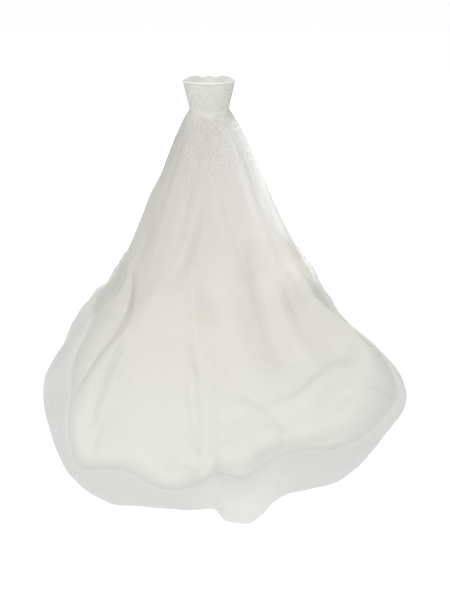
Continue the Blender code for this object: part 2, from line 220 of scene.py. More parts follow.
def node_group(name, inputs, outputs, kind="ShaderNodeTree"):
    """Empty node group with named sockets; gives the tree and its input and output nodes."""
    tree = bpy.data.node_groups.new(name, kind)
    for socket, socket_kind, value in inputs:
        made = tree.interface.new_socket(socket, in_out="INPUT", socket_type=socket_kind)
        if value is not None:
            made.default_value = value
    for socket, socket_kind in outputs:
        tree.interface.new_socket(socket, in_out="OUTPUT", socket_type=socket_kind)
    return tree, tree.nodes.new("NodeGroupInput"), tree.nodes.new("NodeGroupOutput")


def adjust(node, **settings):
    """Puts settings on a node and values on its named input sockets."""
    for key, value in settings.items():
        if hasattr(node, key):
            setattr(node, key, value)
        else:
            node.inputs[key.replace("_", " ")].default_value = value
    return node


def add(tree, kind, **settings):
    """A new node in a tree, with its settings and values."""
    return adjust(tree.nodes.new(kind), **settings)


def join(tree, *links):
    """Links nodes. A row is a node and its output, or a socket alone, then a node and its input."""
    for *source, target, entry in links:
        socket = source[0].outputs[source[1]] if len(source) == 2 else source[0]
        tree.links.new(socket, target.inputs[entry])


def math_node(tree, operation, a, b=None, clamp=False):
    """Output of a math node on two values, each a number or another node's output."""
    node = add(tree, "ShaderNodeMath", operation=operation, use_clamp=clamp)
    for socket, value in zip(node.inputs, (a, b)):
        if value is None:
            continue
        if isinstance(value, (int, float)):
            socket.default_value = value
        else:
            tree.links.new(value, socket)
    return node.outputs[0]


# Woven threads, used by every cloth: two sets of fine ridges that cross, along the cut's UVs
weave, weave_in, weave_out = node_group(
    "woven_threads",
    [("Threads Per Metre", "NodeSocketFloat", 900.0), ("Slub", "NodeSocketFloat", 0.4)],
    [("Height", "NodeSocketFloat"), ("Tone", "NodeSocketFloat")])
cut = add(weave, "ShaderNodeUVMap", uv_map="cut")
scaled = add(weave, "ShaderNodeVectorMath", operation="SCALE")
parts = add(weave, "ShaderNodeSeparateXYZ")
warp = math_node(weave, "SINE", math_node(weave, "MULTIPLY", parts.outputs[0], math.pi))
weft = math_node(weave, "SINE", math_node(weave, "MULTIPLY", parts.outputs[1], math.pi))
crossing = math_node(weave, "MULTIPLY", warp, weft)
slubs = add(weave, "ShaderNodeTexNoise", Scale=38.0, Detail=4.0, Roughness=0.6)
uneven = math_node(weave, "MULTIPLY", slubs.outputs["Fac"], weave_in.outputs["Slub"])
join(weave,
     (cut, "UV", scaled, 0),
     (weave_in, "Threads Per Metre", scaled, "Scale"),
     (scaled, 0, parts, 0),
     (cut, "UV", slubs, "Vector"),
     (math_node(weave, "ADD", crossing, uneven), weave_out, "Height"),
     (slubs, "Fac", weave_out, "Tone"))


def new_material(name):
    """A plain material, its node tree and its shader."""
    made = bpy.data.materials.new(name)
    made.use_nodes = True
    return made, made.node_tree, made.node_tree.nodes["Principled BSDF"]


def cloth_material(name, colour, shade, roughness, threads, thread_depth, slub, sheen):
    """Woven cloth: a soft tone from the slubs, threads in the bump, and a little sheen."""
    made, tree, shader = new_material(name)
    threads_node = add(tree, "ShaderNodeGroup", node_tree=weave)
    adjust(threads_node, Threads_Per_Metre=threads, Slub=slub)
    tone = add(tree, "ShaderNodeMixRGB", Color1=shade + (1,), Color2=colour + (1,))
    bump = add(tree, "ShaderNodeBump", Strength=0.5, Distance=thread_depth)
    join(tree,
         (threads_node, "Tone", tone, "Fac"),
         (tone, "Color", shader, "Base Color"),
         (threads_node, "Height", bump, "Height"),
         (bump, "Normal", shader, "Normal"))
    adjust(shader, Roughness=roughness, Sheen_Weight=sheen, Sheen_Roughness=0.4)
    return made


bodice_cloth = cloth_material(
    "laced_satin", (0.61, 0.61, 0.565), (0.57, 0.57, 0.525), 0.55, 1400.0, 0.0002, 0.5, 0.0)
# Inner cloth of the cups: its paler colour and faint glow are painted light in the shaded hollow of the
# bodice.
lining_with_painted_glow = cloth_material(
    "bodice_lining", (0.80, 0.80, 0.76), (0.76, 0.76, 0.72), 0.5, 1400.0, 0.0001, 0.3, 0.0)
adjust(lining_with_painted_glow.node_tree.nodes["Principled BSDF"],
       Emission_Color=(1.0, 0.99, 0.96, 1), Emission_Strength=PAINTED_LINING_GLOW)
beaded = {}
for node, start, stop, flat_width, flat_length, flat_area, edging in BODICE_PANELS:
    angles = np.linspace(start, stop, int((stop - start) / BODICE_STEP) + 1)
    high, low = around(TOP_EDGE, angles), around(WAIST_EDGE, angles)
    share = np.linspace(0, 1, BODICE_ROWS + 1)
    heights = high[:, None] + (low - high)[:, None] * share[None, :]
    grid = bodice_point(angles[:, None], heights)
    normals = outward(grid)
    reach = np.hypot(grid[..., 0], grid[..., 1])
    near_seam = np.minimum(angles - start, stop - angles)[:, None] * np.radians(1) * reach
    near_bone = np.abs(angles - 0.5 * (start + stop))[:, None] * np.radians(1) * reach
    bone = BONE_RISE * np.exp(-(near_bone / BONE_WIDTH) ** 2)
    relief = bone - SEAM_DIP * np.exp(-(near_seam / SEAM_WIDTH) ** 2)
    uv = cut_uv(grid)
    face = draw_back(grid + normals * relief[..., None], SEAM_HALF_GAP, SEAM_HALF_GAP)
    back = draw_back(grid - normals * BODICE_WALL, SEAM_HALF_GAP, SEAM_HALF_GAP)
    panel = cloth("laced_" + node, face, back, uv)
    laced, thickly = np.ones(face.shape[:2]), np.full(face.shape[:2], BODICE_BEADED)
    beaded[node] = (panel, node + "_satin", face, laced, thickly)
    panel.data.materials.append(bodice_cloth)
    panel.data.materials.append(lining_with_painted_glow)
    inside = np.zeros(len(panel.data.polygons), np.int32)
    count = (len(angles) - 1) * BODICE_ROWS
    inside[count:2 * count] = 1
    panel.data.polygons.foreach_set("material_index", inside)
    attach(panel, "root")
    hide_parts(node)

# Insert. A small plain satin piece behind the sweetheart notch, stitched to the inside of
# the centre front along its lower edge.
INSERT_HALF_ANGLE, INSERT_TOP, INSERT_FALL, INSERT_DEEP = 15.0, 0.1835, 0.011, 0.056
INSERT_FACE, INSERT_BACK = 0.0032, 0.0042
INSERT_COLUMNS, INSERT_ROWS = 40, 24
angles = np.linspace(180 - INSERT_HALF_ANGLE, 180 + INSERT_HALF_ANGLE, INSERT_COLUMNS + 1)
high = INSERT_TOP - INSERT_FALL * ((angles - 180) / INSERT_HALF_ANGLE) ** 2
heights = high[:, None] - INSERT_DEEP * np.linspace(0, 1, INSERT_ROWS + 1)[None, :]
grid = bodice_point(angles[:, None], heights)
normals = outward(grid)
insert = cloth("notch_insert", grid - normals * INSERT_FACE, grid - normals * INSERT_BACK, cut_uv(grid))
insert.data.materials.append(cloth_material(
    "insert_satin", (0.86, 0.855, 0.835), (0.80, 0.795, 0.775), 0.5, 1400.0, 0.0002, 0.3, 0.2))
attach(insert, "root")
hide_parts("bodice_insert")

# Binding. Three bias strips of satin folded over the neckline, slightly puffed, with a row
# of small stitches near the lower edge.
BINDINGS = (
    # node, from degrees, to degrees, flat length, the panel under it
    ("binding_back", -90, 90, 0.43, "bodice_back_left"),
    ("binding_front_right", 90, 180, 0.24, "bodice_side_front_right"),
    ("binding_front_left", 180, 270, 0.24, "bodice_side_front_left"),
)
BINDING_HEIGHT, BINDING_OVER, BINDING_PUFF, BINDING_BACK = 0.009, 0.0008, 0.0022, 0.0006
BINDING_ROUND, BINDING_TUCK = 0.6, 0.6
BINDING_COLUMNS_PER_DEGREE, BINDING_ROWS = 1.6, 10
PUCKER_COUNT, PUCKER_DEPTH = 150, 0.0002
binding_cloth = cloth_material(
    "binding_satin", (0.70, 0.70, 0.67), (0.66, 0.66, 0.63), 0.42, 1500.0, 0.00015, 0.2, 0.0)
for node, start, stop, flat_length, under in BINDINGS:
    angles = np.linspace(start, stop, int((stop - start) * BINDING_COLUMNS_PER_DEGREE) + 1)
    high = around(TOP_EDGE, angles) + BINDING_OVER
    share = np.linspace(0, 1, BINDING_ROWS + 1)
    heights = high[:, None] - BINDING_HEIGHT * share[None, :]
    grid = bodice_point(angles[:, None], heights)
    normals = outward(grid)
    arch = np.sin(np.pi * share)
    puff = BINDING_BACK + BINDING_PUFF * arch ** BINDING_ROUND
    pucker = PUCKER_DEPTH * np.sin(np.radians(angles) * PUCKER_COUNT)[:, None] * arch[None, :]
    face = draw_back(grid + normals * (puff[None, :] + pucker)[..., None], SEAM_HALF_GAP, SEAM_HALF_GAP)
    back = draw_back(grid + normals * BINDING_BACK * BINDING_TUCK, SEAM_HALF_GAP, SEAM_HALF_GAP)
    strip = cloth("folded_" + node, face, back, cut_uv(grid))
    strip.data.materials.append(binding_cloth)
    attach(strip, "root")
    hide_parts(node)

# Skirt's form. Both layers hang from the waist seam, flare over their gathers, fall nearly
# straight, break on the floor and run out along the train. Each fold is one row.
FLOOR_DROP = 1.10
HIP_SHARE, HIP_FALL, FLARE_SHARE, BREAK_SIZE = 0.08, 0.11, 0.11, 0.09
PROFILE_STEPS, PROFILE_END = 220, 1.7
TRAIN_LIFT, HEM_LIFT, LIFT_SOFTNESS = 0.014, 0.0018, 0.006
SKIRT_ROWS = 190
HANG = (
    # degrees, distance at which the cloth meets the floor
    (0, 1.04), (12, 1.05), (24, 1.02), (36, 0.95), (48, 0.86), (62, 0.76), (80, 0.69),
    (100, 0.65), (125, 0.61), (155, 0.58), (180, 0.57), (210, 0.56), (240, 0.58), (265, 0.61),
    (285, 0.65), (305, 0.74), (320, 0.84), (332, 0.94), (344, 1.01),
)
HEM = (
    # degrees, distance of the hem
    (1.4, 2.30), (2.4, 2.36), (4.5, 2.38), (6, 2.34), (7.5, 2.28), (10, 2.24), (15, 2.22),
    (18, 2.17), (22, 2.08), (26, 2.00), (30, 1.93), (33, 1.86), (36, 1.75), (39, 1.60),
    (42, 1.41), (44.5, 1.22), (47, 1.12), (51, 1.03), (57, 0.93), (70, 0.78), (85, 0.72),
    (110, 0.67), (145, 0.62), (180, 0.60), (215, 0.61), (250, 0.64), (275, 0.67), (292, 0.74),
    (297, 0.83), (303, 0.92), (309, 1.03), (317, 1.20), (321, 1.30), (325, 1.47), (329, 1.64),
    (333, 1.78), (338, 1.94), (342, 2.08), (345, 2.18), (349, 2.27), (352, 2.30), (357, 2.30),
)
SATIN_MARGIN = (
    # degrees, how far the underskirt's hem stops short of the tulle's
    (0, 0.15), (3, 0.26), (8, 0.22), (13, 0.23), (18, 0.15), (23, 0.08), (30, 0.06), (38, 0.06),
    (60, 0.03), (180, 0.025), (300, 0.04), (312, 0.12), (320, 0.20), (326, 0.25), (334, 0.22), (340, 0.12),
    (345, 0.07), (348, 0.14), (351, 0.18), (354, 0.13), (357, 0.10),
)
FOLDS = (
    # from degrees, from share, to degrees, to share, half width, height, lean
    (-38, 0.70, -26, 0.92, 0.080, -0.016, 0.3),
    (-48, 0.60, -39, 0.94, 0.100, 0.040, 0.0),
    (-22, 0.68, -14, 0.98, 0.050, -0.014, -0.3),
    (2, 0.10, -9, 0.32, 0.060, 0.012, 0.2),
    (6, 0.18, 14, 0.42, 0.070, 0.018, 0.3),
    (-6, 0.40, 0, 0.66, 0.070, -0.012, 0.2),
    (-2, 0.50, 7, 0.72, 0.070, 0.012, 0.3),
    (10, 0.80, 14, 0.94, 0.080, 0.010, 0.0),
    (31, 0.80, 6, 0.80, 0.090, 0.030, -0.3),
    (31, 0.94, 14, 0.88, 0.080, 0.020, 0.0),
    (22, 0.34, 18, 0.72, 0.090, -0.016, 0.2),
    (30, 0.25, 31, 0.70, 0.100, 0.014, 0.0),
    (42, 0.26, 38, 0.72, 0.080, 0.004, 0.0),
    (50, 0.30, 46, 0.90, 0.080, 0.010, 0.2),
    (-72, 0.35, -66, 1.00, 0.080, 0.012, 0.2),
    (64, 0.35, 60, 1.00, 0.070, -0.004, 0.0),
    (76, 0.35, 76, 1.00, 0.080, 0.008, -0.2),
    (89, 0.40, 92, 1.00, 0.060, -0.018, 0.2),
    (103, 0.35, 106, 1.00, 0.080, 0.026, 0.0),
    (118, 0.40, 121, 1.00, 0.070, -0.020, -0.2),
    (133, 0.35, 138, 1.00, 0.080, 0.022, 0.2),
    (148, 0.40, 152, 1.00, 0.060, -0.016, 0.0),
    (162, 0.35, 168, 1.00, 0.070, 0.024, 0.2),
    (178, 0.40, 182, 1.00, 0.070, -0.018, 0.0),
    (194, 0.35, 196, 1.00, 0.070, 0.022, -0.2),
    (208, 0.40, 211, 1.00, 0.060, -0.018, 0.0),
    (222, 0.35, 226, 1.00, 0.080, 0.024, 0.2),
    (238, 0.40, 241, 1.00, 0.070, -0.016, 0.0),
    (252, 0.35, 256, 1.00, 0.080, 0.024, -0.2),
    (266, 0.40, 271, 1.00, 0.070, -0.020, 0.2),
    (279, 0.35, 283, 1.00, 0.060, 0.018, 0.0),
)
FOLD_WAIST_FADE, FOLD_END, FOLD_HEM_KEEP, CREASE_ROUND, FOLD_REACH = 0.30, 0.25, 0.35, 0.35, 2.8
LEAN_STEEPNESS = 4
SKIRT_GORES = (
    # node, from degrees, to degrees, columns, tulle's flat width, length and area, satin's, panel above
    ("train_right", 0, 50, 144, 2.27, 2.72, 2.00, 2.03, 2.49, 1.68, "bodice_back_right"),
    ("side_right", 50, 130, 110, 1.30, 1.48, 0.82, 1.16, 1.45, 0.74, "bodice_side_front_right"),
    ("front", 130, 230, 124, 1.22, 1.21, 0.84, 1.08, 1.19, 0.74, "bodice_centre_front"),
    ("side_left", 230, 310, 110, 1.28, 1.52, 0.77, 1.15, 1.49, 0.69, "bodice_side_front_left"),
    ("train_left", 310, 360, 144, 2.14, 2.72, 1.85, 1.99, 2.51, 1.66, "bodice_back_left"),
)


def height_over_floor(level, drop):
    """Height of hanging cloth, eased into the floor."""
    eased = level + np.sqrt(level ** 2 + BREAK_SIZE ** 2)
    return drop * eased / (drop + math.sqrt(drop ** 2 + BREAK_SIZE ** 2))


def skirt_profile(degrees):
    """Waist point, direction out, and fine distances out, heights and lengths at an angle."""
    start = bodice_point(degrees, float(around(WAIST_EDGE, degrees)))
    a = math.radians(degrees)
    hem = float(around(HEM, degrees))
    out = np.array([hem * math.sin(a) - start[0], -hem * math.cos(a) - start[1], 0.0])
    reach = np.linalg.norm(out)
    drop = FLOOR_DROP + start[2]
    t = PROFILE_END * np.linspace(0, 1, PROFILE_STEPS + 1)
    flare = HIP_SHARE * (1 - np.exp(-t / HIP_FALL))
    hang = float(around(HANG, degrees)) - math.hypot(start[0], start[1])
    distance = hang * (flare + (1 - HIP_SHARE - FLARE_SHARE) * t + FLARE_SHARE * t ** 3)
    height = height_over_floor(drop * (1 - t), drop)
    keep = distance < reach
    distance, height = distance[keep], height[keep]
    distance = np.concatenate([distance, np.linspace(distance[-1], reach, PROFILE_STEPS)[1:]])
    height = np.concatenate([height, np.full(PROFILE_STEPS - 1, height[-1])])
    lengths = np.concatenate([[0], np.cumsum(np.hypot(np.diff(distance), np.diff(height)))])
    return start, out / reach, distance, height, lengths


def skirt_base(angles, shares):
    """Unfolded cloth: points, lengths down the cloth, and how high each rests over the floor, lower past
    the satin's hem.
    """
    grid = np.zeros((len(angles), len(shares), 3))
    down = np.zeros(grid.shape[:2])
    lift = np.zeros(grid.shape[:2])
    for k, degrees in enumerate(angles):
        start, out, distance, height, lengths = skirt_profile(degrees)
        stops = shares * lengths[-1]
        margin = float(around(SATIN_MARGIN, degrees))
        lift[k] = TRAIN_LIFT + (HEM_LIFT - TRAIN_LIFT) * smooth((stops - lengths[-1] + margin) / margin)
        z = np.interp(stops, lengths, height)
        level = z + lift[k] * (1 - np.minimum(1.0, z / FLOOR_DROP)) - FLOOR_DROP
        grid[k] = start * [1, 1, 0] + out * np.interp(stops, lengths, distance)[:, None]
        grid[k, :, 2] = level
        down[k] = stops
    return grid, down, lift


def fold_line(stops, steps=9):
    """Points of a fold's line on the unfolded cloth, through stops of (degrees, share)."""
    line = []
    for at in np.linspace(0, len(stops) - 1, steps):
        degrees, share = (np.interp(at, range(len(stops)), column) for column in zip(*stops))
        start, out, distance, height, lengths = skirt_profile(degrees)
        stop = share * lengths[-1]
        place = start * [1, 1, 0] + out * np.interp(stop, lengths, distance)
        place[2] = np.interp(stop, lengths, height) - FLOOR_DROP
        line.append(place)
    return np.array(line)


def fold_push(points, normals, folds, sharp):
    """How far the folds push each point out along its normal. A sharp fold has a narrow line."""
    push = np.zeros(points.shape[:-1])
    for stops, half_width, height, lean in folds:
        line = fold_line(stops)
        pad = FOLD_REACH * half_width * (1 + abs(lean))
        near = np.all((points > line.min(axis=0) - pad) & (points < line.max(axis=0) + pad), axis=-1)
        if not near.any():
            continue
        p, n = points[near], normals[near]
        best = np.full(len(p), np.inf)
        progress = np.zeros(len(p))
        side = np.zeros(len(p))
        for k in range(len(line) - 1):
            span = line[k + 1] - line[k]
            f = np.clip((p - line[k]) @ span / (span @ span), 0, 1)
            away = p - line[k] - f[:, None] * span
            gap = np.linalg.norm(away, axis=1)
            closer = gap < best
            best = np.where(closer, gap, best)
            progress = np.where(closer, (k + f) / (len(line) - 1), progress)
            side = np.where(closer, np.einsum("ij,ij->i", np.cross(n, span), away), side)
        width = half_width * (1 + lean * np.tanh(side / (np.abs(side).max() + 1e-9) * LEAN_STEEPNESS))
        ends = smooth(progress / FOLD_END) * smooth((1 - progress) / FOLD_END + FOLD_HEM_KEEP)
        across = np.hypot(best / width, CREASE_ROUND) - CREASE_ROUND if sharp else (best / width) ** 2
        push[near] += height * ends * np.exp(-across) * smooth(FOLD_REACH - best / width)
    return push


def round_outward(grid):
    """Outward directions of a grid that goes all the way round the gown."""
    wrapped = np.concatenate([grid[-1:], grid, grid[:1]])
    return unit(np.cross(np.gradient(wrapped, axis=0)[1:-1], -np.gradient(grid, axis=1)))


# Puffs and creases: cloth stands up in soft puffs on the train, and sharper
# lines run between them where it turns over itself.
PUFFS = (
    # stops of (degrees, share), half width, height, lean
    (((-46, 0.78), (-37, 0.86), (-32, 0.90), (-29, 0.96)), 0.070, 0.026, 0.0),
    (((-26, 0.64), (-22, 0.78), (-19, 0.86), (-17, 0.95)), 0.060, 0.014, 0.0),
    (((-9, 0.30), (-18, 0.45), (-23, 0.58), (-22, 0.72), (-18, 0.90)), 0.090, 0.026, 0.0),
    (((-14, 0.52), (-10, 0.72), (-7, 0.95)), 0.150, 0.022, 0.2),
    (((-50, 0.46), (-46, 0.58), (-41, 0.68), (-36, 0.72)), 0.090, -0.018, 0.0),
    (((28, 0.08), (36, 0.20), (40, 0.31), (41, 0.42)), 0.055, 0.014, 0.0),
    (((35, 0.46), (35.5, 0.55), (34, 0.64)), 0.055, 0.014, 0.0),
    (((-4, 0.10), (-8, 0.22), (-11, 0.33), (-17, 0.45)), 0.045, 0.016, 0.0),
    (((2, 0.36), (7, 0.48), (9, 0.60), (9, 0.73)), 0.110, 0.032, 0.2),
    (((28, 0.44), (25, 0.58), (22, 0.72)), 0.085, 0.028, 0.0),
    (((12, 0.82), (20, 0.81), (28, 0.84), (34, 0.88)), 0.090, 0.022, -0.2),
    (((1, 0.86), (7, 0.86), (11, 0.88)), 0.080, 0.018, 0.0),
    (((17, 0.92), (24, 0.93), (31, 0.95)), 0.060, 0.014, 0.0),
    (((45, 0.60), (42, 0.72), (38, 0.82), (34, 0.92)), 0.080, 0.055, 0.0),
)
CREASES = (
    # stops of (degrees, share), half width, height, lean
    (((-47, 0.58), (-44, 0.66), (-40, 0.70), (-34, 0.69), (-29, 0.71), (-26.5, 0.79), (-26, 0.87),
      (-24, 0.95)), 0.042, -0.032, -0.3),
    (((-24, 0.62), (-20, 0.71), (-18, 0.77), (-15, 0.88), (-14, 0.97)), 0.026, -0.026, 0.5),
    (((-9, 0.30), (-7, 0.39), (-4, 0.50), (-2, 0.62)), 0.036, -0.014, 0.3),
    (((-2.5, 0.56), (-1, 0.68), (0, 0.78), (0.5, 0.91), (1, 0.96)), 0.020, -0.022, 0.3),
    (((-4, 0.62), (-2.5, 0.74), (-1, 0.84), (0.3, 0.93)), 0.018, -0.012, 0.5),
    (((-2, 0.55), (1.5, 0.64), (4.5, 0.675), (7.5, 0.74), (9.5, 0.79), (11, 0.84), (14, 0.92)),
     0.038, -0.024, -0.3),
    (((20, 0.32), (21.5, 0.38), (22.5, 0.46), (22, 0.53), (20, 0.60), (17, 0.70)), 0.044, -0.014, 0.3),
    (((32, 0.46), (30, 0.60), (25, 0.70)), 0.036, -0.008, 0.3),
    (((37, 0.83), (32, 0.79), (27, 0.765), (21, 0.765), (16, 0.78), (11, 0.78)), 0.046, -0.024, 0.3),
    (((14, 0.78), (10, 0.785), (7, 0.79), (4.5, 0.785), (2, 0.79)), 0.036, -0.012, 0.0),
    (((25, 0.87), (19.5, 0.87), (16, 0.89)), 0.028, -0.010, 0.0),
    (((31, 0.96), (27, 0.94), (23, 0.93), (18, 0.92), (13, 0.91)), 0.034, -0.022, 0.2),
    (((-5, 0.96), (-3, 0.91), (-1, 0.91), (1, 0.95)), 0.022, -0.026, 0.0),
    (((0, 0.93), (4, 0.905), (10, 0.92), (14, 0.92), (19, 0.95), (25, 0.985)), 0.034, -0.034, 0.0),
    (((-4, 0.08), (-9, 0.13), (-13, 0.19), (-15, 0.25)), 0.020, -0.020, 0.0),
    (((-3, 0.22), (-4, 0.30), (-7, 0.38)), 0.022, -0.010, 0.0),
    (((9, 0.20), (14, 0.30), (16, 0.41)), 0.030, -0.010, 0.0),
    (((-50, 0.70), (-46, 0.80), (-40, 0.94)), 0.034, -0.020, 0.3),
    (((45, 0.44), (46, 0.66), (44, 0.92)), 0.034, -0.005, 0.0),
    (((98, 0.40), (99, 0.98)), 0.026, -0.010, 0.0),
    (((112, 0.44), (113, 0.98)), 0.024, -0.009, 0.2),
    (((126, 0.40), (129, 0.98)), 0.026, -0.010, 0.0),
    (((142, 0.46), (144, 0.98)), 0.022, -0.008, 0.0),
    (((156, 0.40), (160, 0.98)), 0.026, -0.010, -0.2),
    (((172, 0.48), (175, 0.98)), 0.022, -0.008, 0.0),
    (((188, 0.40), (190, 0.98)), 0.026, -0.010, 0.0),
    (((202, 0.44), (204, 0.98)), 0.022, -0.008, 0.2),
    (((216, 0.40), (219, 0.98)), 0.026, -0.010, 0.0),
    (((231, 0.46), (233, 0.98)), 0.022, -0.008, 0.0),
    (((246, 0.40), (249, 0.98)), 0.026, -0.010, 0.0),
    (((260, 0.44), (263, 0.98)), 0.022, -0.008, -0.2),
    (((272, 0.40), (276, 0.98)), 0.026, -0.010, 0.0),
)
BILLOW, BILLOW_FROM, BILLOW_ANGLE, BILLOW_SIDE_FADE = 0.030, 0.30, 58.0, 15
BILLOW_EDGE = (
    # degrees, how far in from the satin's hem the train stands at its full height
    (2, 0.07), (18, 0.08), (26, 0.18), (34, 0.30), (320, 0.30), (344, 0.22), (350, 0.12), (356, 0.07),
)
gore_starts = []
skirt_angles = []
for node, start, stop, columns, *cut_sizes in SKIRT_GORES:
    gore_starts.append(len(skirt_angles))
    skirt_angles += list(np.linspace(start, stop, columns, endpoint=False))
skirt_angles = np.array(skirt_angles)
skirt_shares = np.linspace(0, 1, SKIRT_ROWS + 1)


def folded_skirt(shares):
    """The skirt with its folds and creases, its lengths down the cloth and its lifts."""
    base, down, lift = skirt_base(skirt_angles, shares)
    normals = round_outward(base)
    fade = smooth(shares / FOLD_WAIST_FADE)
    folds = [(((a, b), (c, d)), *shape) for a, b, c, d, *shape in FOLDS]
    push = fold_push(base, normals, folds + list(PUFFS), False) + fold_push(base, normals, CREASES, True)
    push *= fade[None, :]
    grid = base + normals * push[..., None]
    near_floor = smooth(1 - (base[..., 2] + FLOOR_DROP) / BILLOW_FROM)
    from_hem = down[:, -1:] - down - around(SATIN_MARGIN, skirt_angles)[:, None]
    within = smooth(from_hem / around(BILLOW_EDGE, skirt_angles)[:, None])
    behind_wearer = smooth((BILLOW_ANGLE - np.abs((skirt_angles + 180) % 360 - 180)) / BILLOW_SIDE_FADE)
    grid[..., 2] += BILLOW * near_floor * within * behind_wearer[:, None]
    return grid, down, lift, normals


def rest_on_floor(grid, lift):
    """Eases whatever would sink below the cloth's resting height back above it."""
    over = grid[..., 2] + FLOOR_DROP - lift
    soft = np.minimum(LIFT_SOFTNESS, lift)
    grid[..., 2] = lift - FLOOR_DROP + 0.5 * (over + np.sqrt(over ** 2 + soft ** 2))
    return grid


# Underskirt. Heavy ivory satin in five gores, gathered into the same waist seam. It holds the
# skirt's shape, and its own hem stops well short of the tulle's at the end of the train.
LAYER_GAP, LAYER_FALL, STAND_OFF_FALL, WAIST_TUCK = 0.0105, 0.14, 0.35, 0.0045
GORE_HALF_GAP = 0.00002
SATIN_WALL, SATIN_OVER_FLOOR = 0.0012, 0.0005
STAND_OFF = (
    # degrees, how much further the hanging tulle stands away from the underskirt
    (0, 0.000), (22, 0.004), (36, 0.060), (48, 0.120), (60, 0.150), (108, 0.145), (140, 0.014),
    (180, 0.006), (240, 0.008), (285, 0.012), (325, 0.004),
)
STAND_TURN = 20.0  # degrees that the stand-off turns toward the train on its way to the hem


def gore_cloth(name, grid, normals, wall):
    """One gore of the skirt, its side edges drawn back from the seams."""
    return cloth(name, draw_back(grid, GORE_HALF_GAP, GORE_HALF_GAP),
                 draw_back(grid - normals * wall, GORE_HALF_GAP, GORE_HALF_GAP), cut_uv(grid), normals)


folded, down, lift, plain_directions = folded_skirt(skirt_shares)
tulle_lengths = down[:, -1:]
directions = round_outward(folded)
stand_angles = skirt_angles[:, None] + STAND_TURN * skirt_shares[None, :]
stand_off = around(STAND_OFF, stand_angles)
level = folded[..., 2]
hanging = smooth(-level / STAND_OFF_FALL) * smooth((level + FLOOR_DROP) / STAND_OFF_FALL)
depth = WAIST_TUCK + (LAYER_GAP - WAIST_TUCK) * smooth(-level / LAYER_FALL)
satin_lengths = tulle_lengths - around(SATIN_MARGIN, skirt_angles)[:, None]
behind = folded - directions * depth[..., None] - plain_directions * (stand_off * hanging)[..., None]
behind[..., 2] = np.maximum(behind[..., 2], SATIN_WALL + SATIN_OVER_FLOOR - FLOOR_DROP)
satin_grid = np.zeros((len(skirt_angles), SKIRT_ROWS + 1, 3))
for k in range(len(skirt_angles)):
    stops = skirt_shares * satin_lengths[k]
    for axis in range(3):
        satin_grid[k, :, axis] = np.interp(stops, down[k], behind[k, :, axis])
satin_cloth = cloth_material(
    "underskirt_satin", (0.80, 0.785, 0.70), (0.76, 0.745, 0.66), 0.42, 1200.0, 0.00015, 0.3, 0.0)
satin_directions = round_outward(satin_grid)
for (node, start, stop, columns, *cut_sizes, panel_above), first in zip(SKIRT_GORES, gore_starts):
    pick = np.arange(first, first + columns + 1, 2) % len(skirt_angles)
    grid, normals = satin_grid[pick][:, ::2], satin_directions[pick][:, ::2]
    gore = gore_cloth("satin_" + node, grid, normals, SATIN_WALL)
    gore.data.materials.append(satin_cloth)
    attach(gore, "root")
    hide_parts("underskirt_" + node)

# Tulle. Several fine layers of soft net that lie as one, gathered small into the waist seam
# over the satin and left unhemmed, so that the last of the train is net alone.
TULLE_WALL = 0.0010
# Net tones: the darker tone of the bare net and the beaded tone near the top also hold painted shade, and
# the pale tone where the net stands off the satin is a painted glow.
NET_ALONE_AND_SHADE, NET_BEADED_AND_SHADED, NET_SHEER_GLOW = (0.495, 0.502, 0.488), (0.475, 0.465, 0.435), (0.97, 0.965, 0.95)
LINED_EDGE_AND_FLANK_SHADE = (
    # degrees, over how long the net calms down from its look over the satin to its darker look on its own;
    # long toward the sides of the train, where that darker tone is painted shade on the falling flanks
    (0, 0.080), (18, 0.100), (26, 0.24), (34, 0.50), (42, 0.70), (54, 0.60), (70, 0.05), (180, 0.05),
    (285, 0.10), (300, 0.90), (312, 0.80), (322, 0.55), (334, 0.30), (342, 0.16), (350, 0.090),
)
LINED_START = 0.34
TURNED_HEM_ANGLE, TURNED_HEM_SPREAD, TURNED_HEM, TURNED_HEM_SHARE = 4.5, 4.0, 0.16, 0.30
LINED_AT_HEM, TONE_FALL, WAIST_TONE, WAIST_FADE = 0.64, 2.10, 0.16, 0.13
SHEER_ANGLE, SHEER_SPREAD, SHEER_FROM, SHEER_TO, SHEER_ALPHA, NET_ALPHA = 89.0, 45.0, 0.08, 1.33, 0.27, 0.87
FADE_FROM, FADE_OVER, NO_FADE_LENGTH, TURNED_HEM_REACH = 0.45, 0.45, 1.3, 1.5
SHEER_START, SHEER_FADE = 0.5, 0.3
BEADED_FULL, BEADED_FADE, LACED_FULL, LACED_FADE = 0.16, 0.36, 0.03, 0.10
GATHERS = (
    # how many round the waist, depth, from down, full at, calm at, drift
    (97, 0.0007, 0.000, 0.010, 0.16, 0.0),
    (46, 0.0016, 0.000, 0.030, 0.42, 1.2),
    (23, 0.0030, 0.120, 0.400, 1.30, 2.0),
    (37, 0.0016, 0.300, 0.600, 1.90, -2.5),
)
GATHER_MEAN, GATHER_VARIES, GATHER_WANDER, RIPPLE_WANDER = 0.65, 0.35, 1.6, 2
RIPPLES = (
    # how many round the train, depth, how far in from the hem
    (41, 0.0035, 0.10),
    (87, 0.0018, 0.05),
)


def point_values(mesh, name, values):
    """Stores one number for each point of a mesh, under a name that a node can read."""
    mesh.attributes.new(name, "FLOAT", "POINT").data.foreach_set("value", values)


